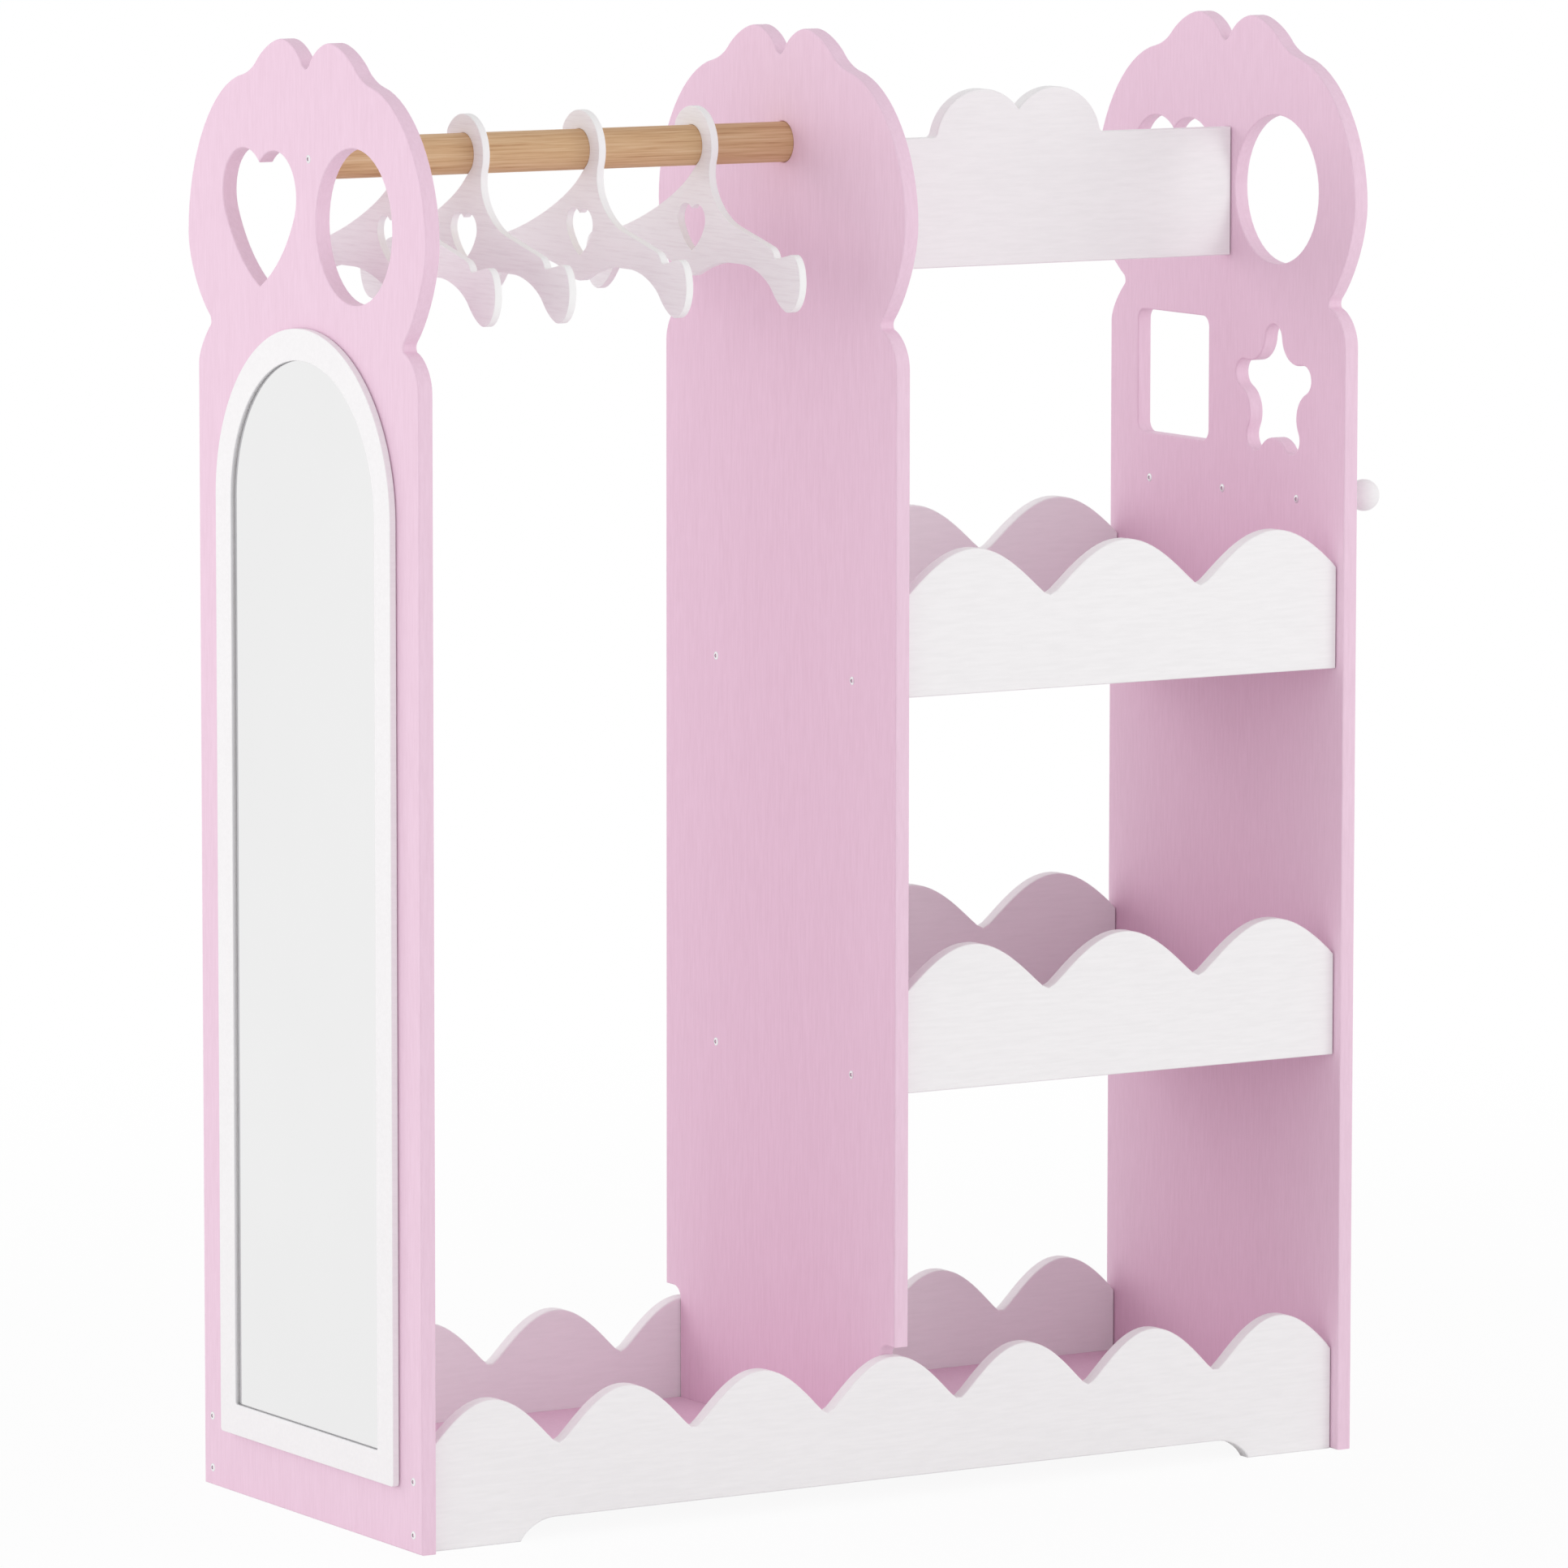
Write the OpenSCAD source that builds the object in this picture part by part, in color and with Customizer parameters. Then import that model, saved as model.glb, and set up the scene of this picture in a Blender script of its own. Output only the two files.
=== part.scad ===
// Child's dress-up storage unit. The hanging bay has a wooden rod with four hangers, and the
// shelf bay has two trays. An arched mirror is fixed to the left panel and three coat pegs to
// the right panel.
// X runs from the mirror to the pegs, Y from the front to the back and Z up, in millimetres.
// The origin is on the floor, under the middle of the whole unit.

/* [Boards and bays] */
// Thickness of the panels, boards, floors and shelves
board_t = 12; // [10:0.5:14]
// Clear width of the hanging bay
hanging_bay_w = 388; // [370:1:460]
// Clear width of the shelf bay
shelf_bay_w = 384; // [340:1:460]
// Depth of the panels, from front edge to back edge
panel_depth = 330; // [320:1:360]
// Distance from the panels' edges in to the boards' outer faces
board_recess = 8.5; // [5:0.5:12]

/* [Panel outline] */
// Height of the panels' straight edges
side_h = 838; // [800:1:880]
// Height of the waist, between a panel's body and its head, above the straight edges
waist_rise = 31; // [26:1:42]
// Depth of the waist, from the straight edge
waist_depth = 23; // [15:0.5:30]
// How far the head swells past the straight edge
head_swell = 11.2; // [2:0.1:15]
// Height above the waist at which the head is widest
head_rise = 76; // [61:1:86]
// How much further the side panels' heads swell at the back than at the front
back_swell = 4; // [0:0.1:6]
// How much lower the side panels' heads are widest at the back than at the front
back_drop = 12.2; // [0:0.1:16]
// Height of the head, from the waist to the ears' tips
head_tall = 212.5; // [202:0.5:232]
// Distance of an ear's tip from the middle of the panel
ear_offset = 36; // [32:0.5:42]
// Depth of the cleft between the ears, below their tips
cleft_depth = 20.2; // [10:0.1:23]

/* [Windows in the panels] */
// Width of the heart windows
heart_w = 111; // [90:1:115]
// Distance of the hearts' middle behind the middle of the panel
heart_offset = 70.5; // [66:0.5:76]
// Height of the hearts' lower tips above the waist
heart_rise = 31; // [21:1:36]
// Diameter of the round windows
round_d = 112.5; // [90:0.5:118]
// Distance of the round windows' middle in front of the middle of the panel
round_offset = 71; // [68:0.5:80]
// Height of the round windows' middle above the waist
round_rise = 82.4; // [71:0.1:91]
// Width of the square window
square_w = 97.7; // [80:0.1:105]
// Height of the square window, from edge to edge
square_tall = 95.3; // [80:0.1:99]
// Radius of the square window's corners
square_r = 8.5; // [3:0.5:15]
// Distance of the square window's middle behind the middle of the panel
square_offset = 69; // [60:0.5:76]
// Depth of the square window's lower edge below the top of the straight edges
square_drop = 84; // [74:1:94]
// Distance from the star's middle to its tips
star_r = 52.6; // [50:0.1:58]
// Distance from the star's middle to its inner corners
star_inner_r = 33.5; // [31:0.5:35]
// Radius of the star's round tips
star_tip_r = 11; // [9:0.5:11.5]
// Distance of the star's middle in front of the middle of the panel
star_offset = 68.4; // [64:0.1:76]
// Depth of the star's middle below the top of the straight edges
star_drop = 41.2; // [33:0.1:48]

/* [Base] */
// Height of the base boards at the tops of their bumps
base_peak = 107; // [98:1:120]
// Height of the base boards between their bumps
base_valley = 70; // [62:1:85]
// Number of bumps along a base board
base_bumps = 7; // [5:1:9]
// Length cut from the first and last bump of every row
bump_trim = 8.2; // [0:0.1:15]
// How far the base boards' bumps lie off the boards' middle, towards the pegs
base_bump_shift = 1.2; // [0:0.1:4]
// Width of the base boards' feet
foot_w = 75.3; // [60:0.1:90]
// Height of the skirt between the feet
skirt_h = 15.6; // [8:0.1:18]
// Height of the floors' undersides
floor_h = 18.1; // [16:0.1:24]
// Height of the gap between the base boards' bumps and the middle panel above them
notch_gap = 8; // [6:0.5:12]
// Radius of the inner corner of the middle panel's notches
notch_r = 10; // [4:0.5:12]

/* [Shelves and top board] */
// Height of the lower edges of the lower shelf's boards
lower_shelf_h = 302.4; // [280:0.1:330]
// Height of the lower edges of the upper shelf's boards
upper_shelf_h = 596; // [570:1:600]
// Height of the shelf boards, from lower edge to the tops of their bumps
shelf_peak = 107.5; // [95:0.5:110]
// Height of the shelf boards between their bumps
shelf_valley = 69.6; // [60:0.1:85]
// Number of bumps along a shelf board
shelf_bumps = 3; // [2:1:5]
// How far the shelf boards' bumps lie off the boards' middle, towards the pegs
shelf_bump_shift = 2.5; // [0:0.1:5]
// Height of the shelf plates' undersides above the boards' lower edges
plate_lift = 2.5; // [0:0.5:6]
// Distance of the top board and the rod in front of the middle of the panels
top_forward = 4.5; // [0:0.5:12]
// Height of the top board's lower edge above the waist
top_board_rise = 29.3; // [21:0.1:41]
// Height of the top board, from edge to edge, beside its lobes
top_board_tall = 97.4; // [90:0.1:100]
// Radius of the two lobes on the top board
lobe_r = 41; // [38:0.5:48]
// Distance of a lobe's middle from the middle of the board
lobe_offset = 32.4; // [25:0.1:34]
// Depth of the lobes' middles below the board's straight edge
lobe_drop = 5.7; // [0:0.1:12]
// Radius of the fillets at the lobes' feet
lobe_foot_r = 4; // [2:0.5:8]

/* [Mirror] */
// Width of the mirror's frame
mirror_w = 262; // [240:0.1:280]
// Height of the frame's lower edge above the ground
mirror_h = 45.5; // [30:0.1:60]
// Distance of the mirror in front of the middle of the panel
mirror_forward = 2.2; // [0:0.1:6]
// Height of the top of the frame's arch above the waist
mirror_rise = 5; // [-15:1:16]
// Width of the frame's border
mirror_border = 23.2; // [18:0.1:30]
// Thickness of the frame
mirror_frame_t = 6; // [5:0.5:9]
// Thickness of the mirror sheet
mirror_sheet_t = 3.2; // [2:0.1:4]
// How far the sheet reaches under the border
mirror_lip = 5; // [3:0.5:8]
// Radius of the frame's lower corners
mirror_corner_r = 3; // [1:0.5:6]

/* [Rod and hangers] */
// Diameter of the rod
rod_d = 30; // [25:0.5:32]
// Height of the rod's axis above the waist
rod_rise = 127.6; // [116:0.1:131]
// Depth of the rod's socket in the middle panel
rod_socket = 5; // [3:0.5:8]
// Distance of each hanger from the left panel
hanger_places = [55, 116.3, 213.8, 309.5]; // [20:0.1:340]
// Thickness of a hanger
hanger_t = 6; // [4:0.5:8]
// Width of a hanger, from end to end
hanger_w = 309; // [290:1:330]
// Width of the hook around the rod
hook_w = 13.9; // [11:0.1:16]
// Angle at which the hook ends, from the front over the top of the rod
hook_end = 142; // [120:1:150]
// Depth of a hanger's arms below the rod's axis, at the strap notches
arm_depth = 68.3; // [60:0.1:75]
// Height of the round ends of a hanger
hanger_end_tall = 42.3; // [38:0.1:50]
// Width of the heart cut in a hanger
hanger_heart_w = 38.2; // [30:0.1:42]
// Depth of that heart's lower tip below the rod's axis
hanger_heart_depth = 77.6; // [74:0.1:78]
// How far the body hangs behind the rod's axis, so that it hangs level
hanger_balance = 1; // [0:0.1:3]

/* [Coat pegs] */
// Depth of the pegs below the top of the panels' straight edges
peg_drop = 118.7; // [103:0.1:123]
// Distance between neighbouring pegs
peg_pitch = 101; // [80:1:120]
// Distance from the panel to the far end of a peg
peg_reach = 61.6; // [50:0.1:75]
// Diameter of a peg's ball
peg_ball_d = 24.2; // [18:0.1:30]
// Diameter of a peg's stem
peg_stem_d = 11; // [9:0.5:14]

/* [Screws and dowels] */
// Diameter of the screws
screw_d = 4; // [3:0.5:4.5]
// Diameter of the screws' heads
screw_head_d = 7; // [6:0.5:9]
// Height of the screws' domed heads
screw_head_h = 1.3; // [1:0.1:3]
// Width of the hexagonal sockets in the heads, from corner to corner
screw_socket_d = 3; // [2:0.1:4]
// Depth of those sockets
screw_socket_depth = 0.9; // [0.5:0.1:1.4]
// How far the screws reach into the boards and the rod
screw_grip = 28; // [20:1:35]
// How far the screws reach into the pegs
peg_screw_grip = 18; // [12:1:25]
// Distance of the base screws' axes from the boards' outer faces
base_screw_cover = 4; // [3.5:0.5:7]
// Height of the lower base screws
base_screw_low = 13; // [8:0.1:20]
// Height of the upper base screws
base_screw_high = 52.1; // [40:0.1:58]
// Distance of the front shelf screws from the panels' front edges
shelf_screw_front = 61; // [50:1:100]
// Distance of the back shelf screws from the panels' back edges
shelf_screw_back = 74; // [50:1:100]
// Diameter of the dowels
dowel_d = 6; // [5:0.5:8]
// How far a dowel reaches into the face of a panel or board
dowel_face = 8; // [6:0.5:9]
// How far a dowel reaches into the end or edge of a board
dowel_edge = 18; // [14:1:24]
// Distance of the floors' end dowels from the middle of the unit
floor_dowel_offset = 70; // [50:1:100]
// Distance of the top board's dowels from its straight edges
top_dowel_inset = 25; // [18:1:35]

/* [Fits] */
// Radial play of screws and dowels in their holes, and of the rod in its socket and the hooks
play = 0.1; // [0.05:0.01:0.1]
// Free depth past the end of a screw, a dowel or the rod
end_play = 0.5; // [0.2:0.1:1]
// Play between the mirror sheet and its rebate, and between the middle panel and the base boards
edge_play = 0.5; // [0.3:0.1:1]

/* [Hidden] */
$fn = 64;

// Colours
pink = [0.93, 0.80, 0.88];
white = [0.94, 0.94, 0.94];
rod_wood = [0.76, 0.57, 0.37];
plywood = [0.90, 0.87, 0.88];
silver = [0.82, 0.84, 0.86];
steel = [0.75, 0.75, 0.77];
beech = [0.85, 0.70, 0.52];

// Places along X: the faces of the panels
unit_w = 3 * board_t + hanging_bay_w + shelf_bay_w;
left_x = -(unit_w + peg_reach - mirror_frame_t) / 2;
hanging_x = left_x + board_t;
middle_x = hanging_x + hanging_bay_w;
shelf_x = middle_x + board_t;
right_x = shelf_x + shelf_bay_w;
outer_x = right_x + board_t;

// Places along Y, both ways from the middle of the unit
edge_y = panel_depth / 2;
top_y = -top_forward;
board_y = edge_y - board_recess;
inner_y = board_y - board_t;
base_screw_y = board_y - base_screw_cover;

// Heights on the panels' heads, counted from the waist
waist_h = side_h + waist_rise;
head_h = waist_h + head_rise;
unit_h = waist_h + head_tall;
heart_h = waist_h + heart_rise;
round_h = waist_h + round_rise;
rod_h = waist_h + rod_rise;
top_board_h = waist_h + top_board_rise;
mirror_top = waist_h + mirror_rise;

// Heights on the panels' bodies, counted from the top of their straight edges
square_h = side_h - square_drop;
star_h = side_h - star_drop;
peg_h = side_h - peg_drop;

// Heights of the middle of the floors and shelves
floor_mid = floor_h + board_t / 2;
lower_plate_h = lower_shelf_h + plate_lift;
upper_plate_h = upper_shelf_h + plate_lift;

// How far cutting shapes pass the faces that they cut
cut = 1;
// Reach of a curve's handles towards the corner that it rounds
soft = 0.55;
// Half the angle between neighbouring star tips
star_step = 36;
// How sharp the valleys between bumps are: 0 is a sharp corner
valley_soft = 0.1;
// Points along each bump
bump_steps = 24;
// Shape of a heart, per unit of its width: lobe radius, lobe height and side radius
heart_lobe = 0.293;
heart_lift = 0.604;
heart_side = 1.036;

// Points of an ear's outer side, from the ear's tip: [outward, up]. The ears stand on the head
ear_foot = [60, -28.5];
ear_heel = [47, -26];
ear_side = [39, -18];
ear_round = [21, 0];
// The bottom of the cleft: half its flat width and the height of its sides
cleft_foot = [2, 0];
cleft_side = [5, 2.7];
// The waist: the run and rise of its rounded inner corner
waist_round = [1.5, 4];
// The shoulder: how far its corner lies below the waist's
shoulder_drop = 8.5;
// At the side panels' backs: how much shallower the waist is, and how far the shoulder's
// corner lies below it
back_waist_out = 3.4;
back_shoulder_drop = 19;
// Height above the waist at which the head's lower curve turns upright
head_turn = 36;
// Height above its widest place at which the head's upper curve turns flat
crown_turn = 94;

// Length over which a foot's edge rises to the skirt
foot_rise = 28;
// Radius of the lower corners of the mirror sheet, and of the sight edge and rebate round it
sheet_r = 2;

// Angles, from the front, at which the hook's inner and outer arcs run into the neck
hook_inner_start = -49;
hook_outer_start = -18;
// The neck where it is narrowest: how far its edge lies inside the hook's, and how low
neck_step = 3.5;
neck_h = 20;
// Height of the neck's front corner above the strap notches
neck_corner_h = 21.2;
// Where the front arm leaves the neck, from under the rod's axis at the notches' height
front_arm = [62, 11.9];
// The corner between the back arm and the neck, from the same place
back_corner = [-38, 16.7];
// Where the neck's back edge leaves the rod, from the rod's axis
neck_back = [-2, -21.8];
// Strap notch: its points inward and down from the arm's height at the hanger's end
notch_start = [43.5, 0];
notch_lip = [38.5, 1.2];
notch_side = [36.6, 5.3];
notch_floor = [35, 10.3];
notch_rise = [31.5, 7.6];
// Top of a hanger's round end, counted the same way
lobe_top = [13.5, 4.1];
lobe_shoulder = [0, 1.5];
// Foot of the round end and the underside: their points up or outward from the lowest place
lobe_tip = [0, 22.4];
lobe_heel = [-0.5, -0.4];
lobe_bottom = [17.8, 0];
lobe_toe = [-27.5, 0];
lobe_inner = [-38.5, 13.5];
under_corner = [-53, 31.3];
under_end = [-82.5, 31.2];
// Where the underside starts to fall to the keel, and its points from there
keel_start = 54.4;
keel_corner = [21.4, -0.3];
keel_drop = [46.4, 11.3];
keel_depth = 3.7;

// A rounded corner at c between the points p and q, without the point q
function bend(p, c, q, n = 10) =
    let (p1 = p + soft * (c - p), q1 = q + soft * (c - q))
    [for (i = [0:n - 1]) let (t = i / n, s = 1 - t)
        s * s * s * p + 3 * s * s * t * p1 + 3 * s * t * t * q1 + t * t * t * q];

// Points along an arc round c, from angle a to angle b, without its last point
function arc(c, r, a, b, n = 12) =
    [for (i = [0:n - 1]) let (t = a + (b - a) * i / n) c + r * [cos(t), sin(t)]];

function flip(p) = [-p[0], p[1]];
// The points from number first on, mirrored and in reverse
function flipped(points, first = 0) = [for (i = [len(points) - 1:-1:first]) flip(points[i])];

// Half of a panel's outline, from the ground up to the cleft; its edge is set in by the
// given amount below the head. The back half of a side panel is the full one
function half_panel(full = false, set_in = 0) =
    let (side = edge_y - set_in,
        shoulder = full ? back_shoulder_drop : shoulder_drop,
        waist = side - waist_depth + (full ? back_waist_out : 0),
        head = edge_y + head_swell + (full ? back_swell : 0),
        drop = full ? back_drop : 0,
        widest = [head, head_h - drop],
        lip = [waist + waist_round[0], waist_h - waist_round[1] + waist_round[0]],
        chin = [waist + waist_round[0], waist_h + waist_round[1]],
        tip = [ear_offset, unit_h],
        cleft = [0, unit_h - cleft_depth])
    concat(
        [[side, 0]],
        bend([side, side_h], [side, waist_h - shoulder], lip),
        bend(lip, [waist - waist_round[0], waist_h], chin, 5),
        bend(chin, [head, waist_h + head_turn - drop / 2], widest),
        bend(widest, [head, head_h + crown_turn], tip + ear_foot, 16),
        bend(tip + ear_foot, tip + ear_heel, tip + ear_side, 6),
        bend(tip + ear_side, tip + ear_round, tip),
        bend(tip, tip - ear_round, cleft + cleft_side),
        bend(cleft + cleft_side, cleft + cleft_foot, cleft, 4));

// A panel's outline, with a full back half or not and its back edge set in by the given amount
function panel_outline(full, set_in) =
    concat(half_panel(full, set_in), [[0, unit_h - cleft_depth]], flipped(half_panel()));

// Right half of a heart of width w that stands on its tip at the origin
function half_heart(w) =
    let (r = w * heart_lobe,
        lobe = [w / 2 - r, w * heart_lift],
        side_r = w * heart_side,
        d = side_r - r,
        q = (lobe * lobe + d * d - side_r * side_r) / (2 * d),
        turn = acos(q / norm(lobe)) - atan2(lobe[1], lobe[0]),
        side = lobe - d * [cos(turn), -sin(turn)],
        start = atan2(-side[1], -side[0]))
    concat(
        arc(side, side_r, start, -turn),
        arc(lobe, r, -turn, acos(-lobe[0] / r), 24));

module heart(w) {
    half = half_heart(w);
    r = w * heart_lobe;
    cusp = [0, w * heart_lift + sqrt(r * r - pow(w / 2 - r, 2))];
    polygon(concat(half, [cusp], flipped(half, 1)));
}

// A star with round tips and round inner corners
module star() {
    a = star_r - star_tip_r;
    ac = a * cos(star_step);
    valley_r = (a * a + star_inner_r * star_inner_r - 2 * ac * star_inner_r
        - star_tip_r * star_tip_r) / (2 * (ac + star_tip_r - star_inner_r));
    b = star_inner_r + valley_r;
    reach = atan2(b * sin(star_step), b * cos(star_step) - a);
    polygon([for (i = [0:4]) let (tip = 90 + 2 * star_step * i, valley = tip + star_step)
        each concat(
            arc(a * [cos(tip), sin(tip)], star_tip_r, tip - reach, tip + reach),
            arc(b * [cos(valley), sin(valley)], valley_r,
                valley + 180 + reach - star_step, valley + 180 - reach + star_step))]);
}

module square_window() {
    for (sy = [-1, 1], sz = [-1, 1])
        translate([sy * (square_w / 2 - square_r), sz * (square_tall / 2 - square_r)])
            circle(r = square_r);
    square([square_w, square_tall - 2 * square_r], center = true);
    square([square_w - 2 * square_r, square_tall], center = true);
}

// A panel at x, with its windows given as children in the plane of Y and Z
module panel(x, full = true, set_in = 0) {
    translate([x, 0, 0])
        rotate([90, 0, 90])
            linear_extrude(board_t)
                difference() {
                    polygon(panel_outline(full, set_in));
                    children();
                }
}

module heart_and_round_windows() {
    translate([heart_offset, heart_h])
        heart(heart_w);
    translate([-round_offset, round_h])
        circle(d = round_d);
}

// Top edge of a row of bumps, from the right end to the left
function bumps(length, count, shift, valley, peak) =
    let (pitch = (length + 2 * bump_trim) / count,
        first = bump_trim - shift,
        full = sqrt(1 + valley_soft * valley_soft) - valley_soft)
    [for (i = [count * bump_steps:-1:0])
        let (x = length * i / (count * bump_steps),
            wave = sin(180 * (x + first) / pitch),
            rise = (sqrt(wave * wave + valley_soft * valley_soft) - valley_soft) / full)
        [x, valley + (peak - valley) * rise]];

// A board in the plane of X and Z; at the back it is the mirror image of the front board
module board(x, back, points) {
    mirror([0, back ? 1 : 0, 0])
        translate([x, -inner_y, 0])
            rotate([90, 0, 0])
                linear_extrude(board_t)
                    polygon(points);
}

module base_board(back) {
    length = right_x - hanging_x;
    foot = bend([foot_w, 0], [foot_w + skirt_h / 2, skirt_h], [foot_w + foot_rise, skirt_h]);
    under = concat([[0, 0]], foot, [[foot_w + foot_rise, skirt_h]]);
    color(white)
        difference() {
            board(hanging_x, back, concat(
                under,
                [for (i = [len(under) - 1:-1:0]) [length - under[i][0], under[i][1]]],
                bumps(length, base_bumps, base_bump_shift, base_valley, base_peak)));
            base_screw_set(true);
            floor_dowel_set(true);
        }
}

module shelf_board(h, back) {
    color(white)
        difference() {
            translate([0, 0, h])
                board(shelf_x, back, concat(
                    [[0, 0], [shelf_bay_w, 0]],
                    bumps(shelf_bay_w, shelf_bumps, shelf_bump_shift,
                        shelf_valley, shelf_peak)));
            shelf_dowel_set(true);
        }
}

// A plate between the front and back boards
module plate(x, length, h) {
    translate([x, -inner_y, h])
        cube([length, 2 * inner_y, board_t]);
}

module floor_plate(x, length) {
    color(pink)
        difference() {
            plate(x, length, floor_h);
            floor_dowel_set(true);
        }
}

module shelf_plate(h) {
    color(pink)
        difference() {
            plate(shelf_x, shelf_bay_w, h);
            shelf_screw_set(true);
            shelf_dowel_set(true);
        }
}

// A screw through a board, or the hole for it. It starts at the board's face and points
// along X, either way
module screw(x, y, z, way, grip, hole = false) {
    length = board_t + grip;
    ball_r = (pow(screw_head_d / 2, 2) + pow(screw_head_h, 2)) / (2 * screw_head_h);
    translate([x, y, z])
        rotate([0, way * 90, 0])
            if (hole) {
                translate([0, 0, -cut])
                    cylinder(d = screw_d + 2 * play, h = length + cut + end_play);
            } else {
                difference() {
                    union() {
                        cylinder(d = screw_d, h = length);
                        rotate([180, 0, 0])
                            intersection() {
                                cylinder(d = screw_head_d, h = screw_head_h);
                                translate([0, 0, screw_head_h - ball_r])
                                    sphere(r = ball_r);
                            }
                    }
                    translate([0, 0, -screw_head_h - cut])
                        cylinder(d = screw_socket_d, h = screw_socket_depth + cut, $fn = 6);
                }
            }
}

module base_screw_set(hole = false) {
    for (y = [-base_screw_y, base_screw_y], z = [base_screw_low, base_screw_high]) {
        screw(left_x, y, z, 1, screw_grip, hole);
        screw(outer_x, y, z, -1, screw_grip, hole);
    }
}

module shelf_screw_set(hole = false) {
    for (y = [shelf_screw_front - edge_y, edge_y - shelf_screw_back],
        h = [lower_plate_h, upper_plate_h]) {
        screw(middle_x, y, h + board_t / 2, 1, screw_grip, hole);
        screw(outer_x, y, h + board_t / 2, -1, screw_grip, hole);
    }
}

module peg_screw_set(hole = false) {
    for (i = [-1:1])
        screw(right_x, i * peg_pitch, peg_h, 1, peg_screw_grip, hole);
}

module rod_screw_set(hole = false) {
    screw(left_x, top_y, rod_h, 1, screw_grip, hole);
}

// A dowel along X that passes both sides of x, or the hole for it
module dowel_x(x, y, z, before, after, hole = false) {
    spare = hole ? end_play : 0;
    translate([x - before - spare, y, z])
        rotate([0, 90, 0])
            cylinder(d = dowel_d + (hole ? 2 * play : 0), h = before + after + 2 * spare);
}

// Dowels along Y from a plate into the front and back boards, or the holes for them
module plate_dowels(x, length, z, hole = false) {
    spare = hole ? end_play : 0;
    for (back = [0, 1], share = [1 / 4, 3 / 4])
        mirror([0, back, 0])
            translate([x + length * share, -inner_y - dowel_face - spare, z])
                rotate([-90, 0, 0])
                    cylinder(d = dowel_d + (hole ? 2 * play : 0),
                        h = dowel_face + dowel_edge + 2 * spare);
}

module floor_dowel_set(hole = false) {
    plate_dowels(hanging_x, hanging_bay_w, floor_mid, hole);
    plate_dowels(shelf_x, shelf_bay_w, floor_mid, hole);
    for (y = [-floor_dowel_offset, floor_dowel_offset]) {
        dowel_x(hanging_x, y, floor_mid, dowel_face, dowel_edge, hole);
        dowel_x(middle_x, y, floor_mid, dowel_edge, board_t + dowel_edge, hole);
        dowel_x(right_x, y, floor_mid, dowel_edge, dowel_face, hole);
    }
}

module shelf_dowel_set(hole = false) {
    for (h = [lower_plate_h, upper_plate_h])
        plate_dowels(shelf_x, shelf_bay_w, h + board_t / 2, hole);
}

module top_dowel_set(hole = false) {
    for (z = [top_board_h + top_dowel_inset, top_board_h + top_board_tall - top_dowel_inset]) {
        dowel_x(shelf_x, top_y, z, dowel_face, dowel_edge, hole);
        dowel_x(right_x, top_y, z, dowel_edge, dowel_face, hole);
    }
}

module left_panel() {
    color(pink)
        difference() {
            panel(left_x)
                heart_and_round_windows();
            base_screw_set(true);
            rod_screw_set(true);
            floor_dowel_set(true);
        }
}

// Outline of the notch round a base board, from the middle panel's lower edge up
module notch() {
    ceiling = base_peak + notch_gap;
    wall = inner_y - edge_play;
    difference() {
        translate([wall, -cut])
            square([edge_y - wall + cut, ceiling + cut]);
        translate([wall, ceiling - notch_r])
            difference() {
                square(notch_r);
                translate([notch_r, 0])
                    circle(r = notch_r);
            }
    }
}

module middle_panel() {
    color(pink)
        difference() {
            panel(middle_x, full = false) {
                notch();
                mirror([1, 0])
                    notch();
                translate([-edge_y, -cut])
                    square([panel_depth, floor_h + cut]);
            }
            translate([middle_x - cut, top_y, rod_h])
                rotate([0, 90, 0])
                    cylinder(d = rod_d + 2 * play, h = rod_socket + end_play + cut);
            shelf_screw_set(true);
            floor_dowel_set(true);
            top_dowel_set(true);
        }
}

module right_panel() {
    color(pink)
        difference() {
            panel(right_x, set_in = board_recess) {
                heart_and_round_windows();
                translate([square_offset, square_h + square_tall / 2])
                    square_window();
                translate([-star_offset, star_h])
                    star();
            }
            base_screw_set(true);
            shelf_screw_set(true);
            peg_screw_set(true);
            floor_dowel_set(true);
            top_dowel_set(true);
        }
}

// An arch in the plane of Y and Z, smaller than the frame's outline by the given amount
module arch(inset, corner_r) {
    half = mirror_w / 2 - inset;
    low = mirror_h + inset;
    spring = mirror_top - mirror_w / 2;
    translate([0, spring])
        circle(r = half, $fn = 128);
    translate([-half, low + corner_r])
        square([2 * half, spring - low - corner_r]);
    translate([corner_r - half, low])
        square([2 * (half - corner_r), corner_r + cut]);
    for (side = [-1, 1])
        translate([side * (half - corner_r), low + corner_r])
            circle(r = corner_r);
}

// An upright slab with the plane of Y and Z as its outline, out from the left panel and a
// little in front of its middle
module left_slab(from, to) {
    translate([left_x - to, -mirror_forward, 0])
        rotate([90, 0, 90])
            linear_extrude(to - from)
                children();
}

module mirror_frame() {
    color(white)
        difference() {
            left_slab(0, mirror_frame_t)
                arch(0, mirror_corner_r);
            left_slab(-cut, mirror_frame_t + cut)
                arch(mirror_border, sheet_r);
            left_slab(-cut, mirror_sheet_t)
                arch(mirror_border - mirror_lip - edge_play, sheet_r);
        }
}

module mirror_sheet() {
    color(silver)
        left_slab(0, mirror_sheet_t)
            arch(mirror_border - mirror_lip, sheet_r);
}

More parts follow.
